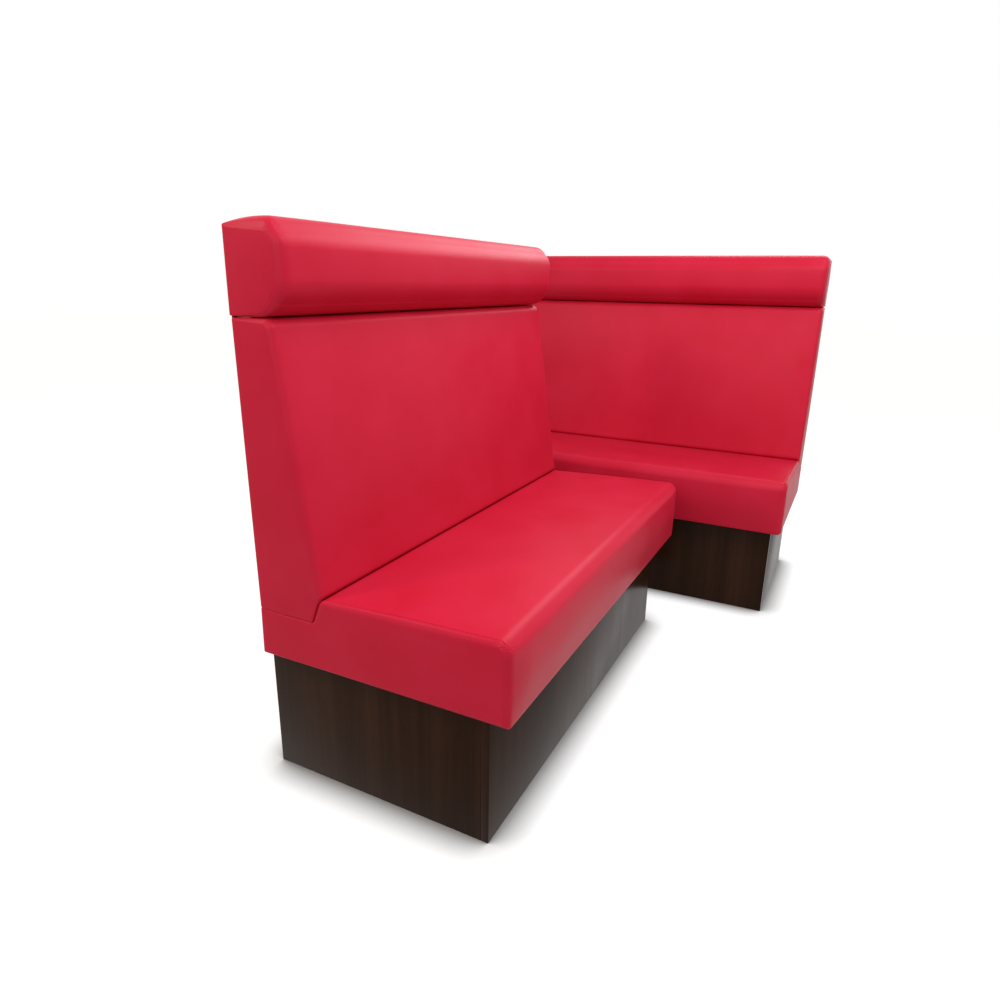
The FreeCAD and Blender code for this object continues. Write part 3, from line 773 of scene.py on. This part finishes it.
tops = add_node(LEATHER_GRAIN, "ShaderNodeMath", {"operation": "MULTIPLY_ADD"},
                _0=pebbles.outputs["Distance"], _1=-PEBBLE_DEPTH,
                _2=grade(LEATHER_GRAIN, fine.outputs["Fac"], *FINE_HEIGHT))
rubbed = grade(LEATHER_GRAIN, slow.outputs["Fac"], 0, 1, *RUBBED_RANGE)
LEATHER_GRAIN.links.new(tops.outputs[0], ends_out.inputs["Height"])
LEATHER_GRAIN.links.new(rubbed, ends_out.inputs["Rubbed"])

# %% [markdown]
# ## Red leathercloth
# The red is deep and the skin satin: matt enough to spread a lamp over a hand's width, and only
# faintly glossy face on, so the ends that face away from the light stay a dark clean red.

# %% Material: red leathercloth
LEATHER_DEEP = (0.57, 0.012, 0.038)
LEATHER_RUBBED = (0.60, 0.017, 0.050)
LEATHER_ROUGHNESS = (0.34, 0.40)
LEATHER_SHINE = 1.2
LEATHER_RELIEF = 0.12 * MM
LEATHER_GRAIN_STRENGTH = 0.8
RED, tree = new_material("red leathercloth")
place = add_node(tree, "ShaderNodeTexCoord").outputs["Object"]
grain = add_node(tree, "ShaderNodeGroup", {"node_tree": LEATHER_GRAIN}, Vector=place)
bump = add_node(tree, "ShaderNodeBump", Height=grain.outputs["Height"], Distance=LEATHER_RELIEF,
                Strength=LEATHER_GRAIN_STRENGTH)
skin = add_node(tree, "ShaderNodeBsdfPrincipled",
                Base_Color=blend(tree, grain.outputs["Rubbed"], LEATHER_DEEP, LEATHER_RUBBED),
                Roughness=grade(tree, grain.outputs["Rubbed"], *LEATHER_ROUGHNESS),
                IOR=LEATHER_SHINE, Normal=bump.outputs["Normal"])
finish_material(RED, skin)

# %% [markdown]
# ## Wood grain
# Laminate, plywood and sawn timber all show the same thing at different strengths: long soft
# bands that run with the grain, and short dark pores lying in them. The point is squeezed along
# the grain first, so a round noise is drawn out into streaks. What changes from wood to wood is
# only how far it is squeezed and which two colours the bands run between.

# %% Group: wood grain
BAND_RANGE = (0.32, 0.68)
PORE_SCALE = 900.0
PORE_RANGE = (0.56, 0.7)
WOOD_GRAIN, ends_in, ends_out = new_group(
    "wood grain",
    [("Vector", "NodeSocketVector", None), ("Along", "NodeSocketVector", (1.0, 1.0, 0.05)),
     ("Bands per Metre", "NodeSocketFloat", 22.0)],
    [("Bands", "NodeSocketFloat"), ("Pores", "NodeSocketFloat")])
squeezed = add_node(WOOD_GRAIN, "ShaderNodeVectorMath", {"operation": "MULTIPLY"},
                    _0=ends_in.outputs["Vector"], _1=ends_in.outputs["Along"]).outputs[0]
bands = add_node(WOOD_GRAIN, "ShaderNodeTexNoise", Vector=squeezed, Scale=ends_in.outputs["Bands per Metre"],
                 Detail=4.0, Roughness=0.6, Distortion=0.5)
pores = add_node(WOOD_GRAIN, "ShaderNodeTexNoise", Vector=squeezed, Scale=PORE_SCALE, Detail=2.0)
WOOD_GRAIN.links.new(grade(WOOD_GRAIN, bands.outputs["Fac"], 0, 1, *BAND_RANGE), ends_out.inputs["Bands"])
WOOD_GRAIN.links.new(grade(WOOD_GRAIN, pores.outputs["Fac"], 0, 1, *PORE_RANGE), ends_out.inputs["Pores"])

# %% [markdown]
# ## Boards, timber and steel
# The plinth wears a dark walnut laminate with upright grain and a dull sheen, which is weak face
# on and strong along the board. The frame inside is pale softwood and plywood, the outside of
# the back a black hardboard, and the bolts and plates are zinc plated.

# %% Materials: laminate, timber, plywood and hardboard
Wood = namedtuple("Wood", "name along bands dark light roughness shine pores")
WALNUT = Wood("walnut laminate", along=(1, 1, 0.03), bands=15,
              dark=(0.022, 0.0085, 0.0035), light=(0.044, 0.019, 0.0095),
              roughness=(0.2, 0.28), shine=1.155, pores=0.3)
SOFTWOOD = Wood("sawn softwood", along=(1, 0.06, 1), bands=40,
                dark=(0.42, 0.27, 0.14), light=(0.62, 0.45, 0.27),
                roughness=(0.55, 0.7), shine=1.45, pores=0.3)
PLYWOOD = Wood("birch plywood", along=(0.08, 1, 1), bands=30,
               dark=(0.5, 0.36, 0.21), light=(0.66, 0.51, 0.33),
               roughness=(0.5, 0.6), shine=1.45, pores=0.25)
HARDBOARD = Wood("black hardboard", along=(1, 1, 0.5), bands=120,
                 dark=(0.006, 0.0055, 0.0055), light=(0.011, 0.01, 0.01),
                 roughness=(0.5, 0.62), shine=1.3, pores=0.2)
PORE_DEPTH = 0.05 * MM
PORE_STRENGTH = 0.5


def wood_material(wood):
    """A wood from its two colours and the way its grain runs."""
    made, tree = new_material(wood.name)
    place = add_node(tree, "ShaderNodeTexCoord").outputs["Object"]
    grain = add_node(tree, "ShaderNodeGroup", {"node_tree": WOOD_GRAIN}, Vector=place, Along=wood.along,
                     Bands_per_Metre=wood.bands)
    bands = add_node(tree, "ShaderNodeMath", {"operation": "MULTIPLY_ADD", "use_clamp": True},
                     _0=grain.outputs["Pores"], _1=-wood.pores, _2=grain.outputs["Bands"])
    bump = add_node(tree, "ShaderNodeBump", {"invert": True}, Height=grain.outputs["Pores"],
                    Distance=PORE_DEPTH, Strength=PORE_STRENGTH)
    board = add_node(tree, "ShaderNodeBsdfPrincipled",
                     Base_Color=blend(tree, bands.outputs[0], wood.dark, wood.light),
                     Roughness=grade(tree, grain.outputs["Bands"], *wood.roughness),
                     IOR=wood.shine, Normal=bump.outputs["Normal"])
    finish_material(made, board)
    return made


LAMINATE, TIMBER, DECK, BLACK = [wood_material(wood) for wood in (WALNUT, SOFTWOOD, PLYWOOD, HARDBOARD)]

# %% [markdown]
# ## Zinc
# Bolts, plates and coach screws come zinc plated: a pale metal that sets in small patches, each a
# little duller or brighter than the next. One slow noise gives both the colour and the gloss.

# %% Material: zinc-plated steel
ZINC_DULL = (0.5, 0.51, 0.53)
ZINC_BRIGHT = (0.68, 0.69, 0.7)
ZINC_ROUGHNESS = (0.25, 0.45)
ZINC_PATCHES = 260.0
ZINC, tree = new_material("zinc-plated steel")
place = add_node(tree, "ShaderNodeTexCoord").outputs["Object"]
spangle = add_node(tree, "ShaderNodeTexNoise", Vector=place, Scale=ZINC_PATCHES, Detail=3.0).outputs["Fac"]
plated = add_node(tree, "ShaderNodeBsdfPrincipled", Base_Color=blend(tree, spangle, ZINC_DULL, ZINC_BRIGHT),
                  Metallic=1.0, Roughness=grade(tree, spangle, *ZINC_ROUGHNESS))
finish_material(ZINC, plated)

# %% [markdown]
# ## Dressing every piece
# The new pieces get the finishes that are seen. The frame inside is carried over from the measured
# model as it is, and only its material is new: sheets are plywood, fasteners zinc, the rest timber.

# %% Put every material on
SHEETS = ("seat_deck", "headroll_board", "back_face_board", "plinth_divider")
STEEL = ("back_bolts", "nut_plates", "plinth_screws")


def material_for(node_name):
    """The material of a piece of the inner frame."""
    if node_name.endswith(STEEL):
        return ZINC
    return DECK if node_name.endswith(SHEETS) else TIMBER


def dress(piece, material):
    """One material in every slot a piece has."""
    slots = max(len(piece.data.materials), 1)
    piece.data.materials.clear()
    for _ in range(slots):
        piece.data.materials.append(material)


for piece in CUSHIONS.values():
    dress(piece, RED)
for board in PLINTHS:
    dress(board, LAMINATE)
for board in BACKS:
    dress(board, BLACK)
replaced = {f"{bench.name}_{name}" for bench in BENCHES for name in (*SEEN_BOARDS, "outside_back_panel")}
carried = [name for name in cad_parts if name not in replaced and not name.endswith(("_cover", "_foam"))]
for name in carried:
    dress(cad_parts[name], material_for(name))
print("carried over:", len(carried), "nodes of the frame")

# %% [markdown]
# ## The floor
# The booth stands on a white floor that runs on into a white world. The floor glows by itself,
# so it is white out to the horizon. Close to what stands on it that glow is dimmed, a painted
# contact shadow added to the shadow the grey floor really catches: an ambient occlusion node
# measures how much is in the way within a hand's width. Only the camera and the reflections see
# that glow, the reflections a little less of it, which keeps the boards dark.
# To the soft light that bounces about, the floor is a plain grey.

# %% Floor
FLOOR_SIZE = 40
FLOOR_REACH = 95 * MM
FLOOR_OPEN = (0.5, 0.97)
FLOOR_GLOW_SHADOW_TO_OPEN = (0.02, 0.86)
FLOOR_MIRRORED = 0.78
FLOOR_DIFFUSE = (0.32, 0.32, 0.32, 1)
FLOOR_BOUNCE = (0.45, 0.45, 0.45, 1)
OCCLUSION_SAMPLES = 16


def seen_directly(tree):
    """1 where the camera, a reflection or a transmission looks, and 0 for bounced light."""
    path = add_node(tree, "ShaderNodeLightPath")
    either = add_node(tree, "ShaderNodeMath", {"operation": "MAXIMUM"},
                      _0=path.outputs["Is Camera Ray"], _1=path.outputs["Is Glossy Ray"])
    return add_node(tree, "ShaderNodeMath", {"operation": "MAXIMUM"},
                    _0=either.outputs[0], _1=path.outputs["Is Transmission Ray"]).outputs[0]


bpy.ops.object.select_all(action="DESELECT")
bpy.ops.mesh.primitive_plane_add(size=FLOOR_SIZE, location=(0, 0, 0))
floor = bpy.context.object
floor.name = floor.data.name = "floor"
PALE, tree = new_material("pale floor")
# Painted contact shadow: the floor's glow is dimmed where ambient occlusion finds something within reach.
openness = add_node(tree, "ShaderNodeAmbientOcclusion", {"samples": OCCLUSION_SAMPLES},
                    Distance=FLOOR_REACH).outputs["AO"]
mirrored = add_node(tree, "ShaderNodeLightPath").outputs["Is Glossy Ray"]
openness = add_node(tree, "ShaderNodeMix", Factor=mirrored, A=openness, B=FLOOR_MIRRORED).outputs[0]
glow = add_node(tree, "ShaderNodeEmission", Strength=grade(tree, openness, *FLOOR_GLOW_SHADOW_TO_OPEN, *FLOOR_OPEN))
pale = add_node(tree, "ShaderNodeBsdfDiffuse", Color=FLOOR_DIFFUSE)
shown = add_node(tree, "ShaderNodeAddShader", _0=glow.outputs[0], _1=pale.outputs[0])
dull = add_node(tree, "ShaderNodeBsdfDiffuse", Color=FLOOR_BOUNCE)
both = add_node(tree, "ShaderNodeMixShader", _0=seen_directly(tree), _1=dull.outputs[0], _2=shown.outputs[0])
finish_material(PALE, both)
floor.data.materials.append(PALE)

# %% [markdown]
# ## A white room
# The camera and the reflections see plain white all round. The light that fills the shadows comes
# from all round as well, but it is weaker and a little warm. It keeps the open ends a warm red,
# because they face away from the main softbox.

# %% World
FILL = 0.52
FILL_COLOUR = (1, 0.88, 0.78, 1)
WHITE = (1, 1, 1, 1)
world = bpy.data.worlds.new("studio")
bpy.context.scene.world = world
world.use_nodes = True
tree = world.node_tree
tree.nodes.clear()
fill = add_node(tree, "ShaderNodeBackground", Color=FILL_COLOUR, Strength=FILL)
white = add_node(tree, "ShaderNodeBackground", Color=WHITE, Strength=1.0)
both = add_node(tree, "ShaderNodeMixShader", _0=seen_directly(tree), _1=fill.outputs[0], _2=white.outputs[0])
add_node(tree, "ShaderNodeOutputWorld", Surface=both.outputs[0])

# %% [markdown]
# ## Four softboxes
# The main one hangs over the inner corner, so the faces a sitter leans on are bright and the open
# ends stay darker. One high on the left is mirrored in the seams along the tops of those ends,
# and one behind the camera in the upper half of the rear pad. The last hangs behind the rear
# bench: the rounded edges mirror it, which draws the light bands along seat and headroll.

# %% Softboxes
Softbox = namedtuple("Softbox", "name place aim size power colour")
SOFTBOXES = [
    Softbox("softbox over the corner", (1.0, -0.5, 2.4), (-0.05, 0.4, 0.55), 1.6, 32, (0.93, 0.96, 1)),
    Softbox("softbox left of the camera", (-1.5, -2.2, 2.4), (0.0, -0.5, 0.6), 0.5, 15, (1, 0.88, 0.76)),
    Softbox("softbox behind the camera", (0.2, -3.6, 2.2), (0.0, 0.8, 0.8), 1.6, 24, (0.85, 0.92, 1)),
    Softbox("softbox behind the benches", (0.4, 2.5, 2.9), (0.1, -0.4, 0.5), 1.8, 36, (0.88, 0.94, 1)),
]
for box in SOFTBOXES:
    heading = (Vector(box.aim) - Vector(box.place)).to_track_quat("-Z", "Y").to_euler()
    bpy.ops.object.light_add(type="AREA", location=box.place, rotation=heading)
    lamp = bpy.context.object
    lamp.name = lamp.data.name = box.name
    lamp.data.size, lamp.data.energy, lamp.data.color = box.size, box.power, box.colour

# %% [markdown]
# ## The camera
# It stands at the height of the headroll, off the corner of the open end, and looks down a little.
# Its place, its angles and its lens were worked out from the straight edges of both benches.

# %% Camera
CAMERA_PLACE = (0.7559, -1.9546, 1.0865)
CAMERA_TURN = 27.09
CAMERA_DIP = 17.39
CAMERA_ROLL = 0.92
camera_data = bpy.data.cameras.new("camera")
camera_data.lens = 25.03
camera_data.sensor_width = 36
camera = bpy.data.objects.new("camera", camera_data)
bpy.context.scene.collection.objects.link(camera)
turn = Matrix.Rotation(math.radians(CAMERA_TURN), 4, "Z")
tilt = Matrix.Rotation(math.radians(90 - CAMERA_DIP), 4, "X")
roll = Matrix.Rotation(math.radians(CAMERA_ROLL), 4, "Z")
camera.matrix_world = Matrix.Translation(CAMERA_PLACE) @ turn @ tilt @ roll
bpy.context.scene.camera = camera
bpy.context.scene.view_settings.view_transform = "Standard"
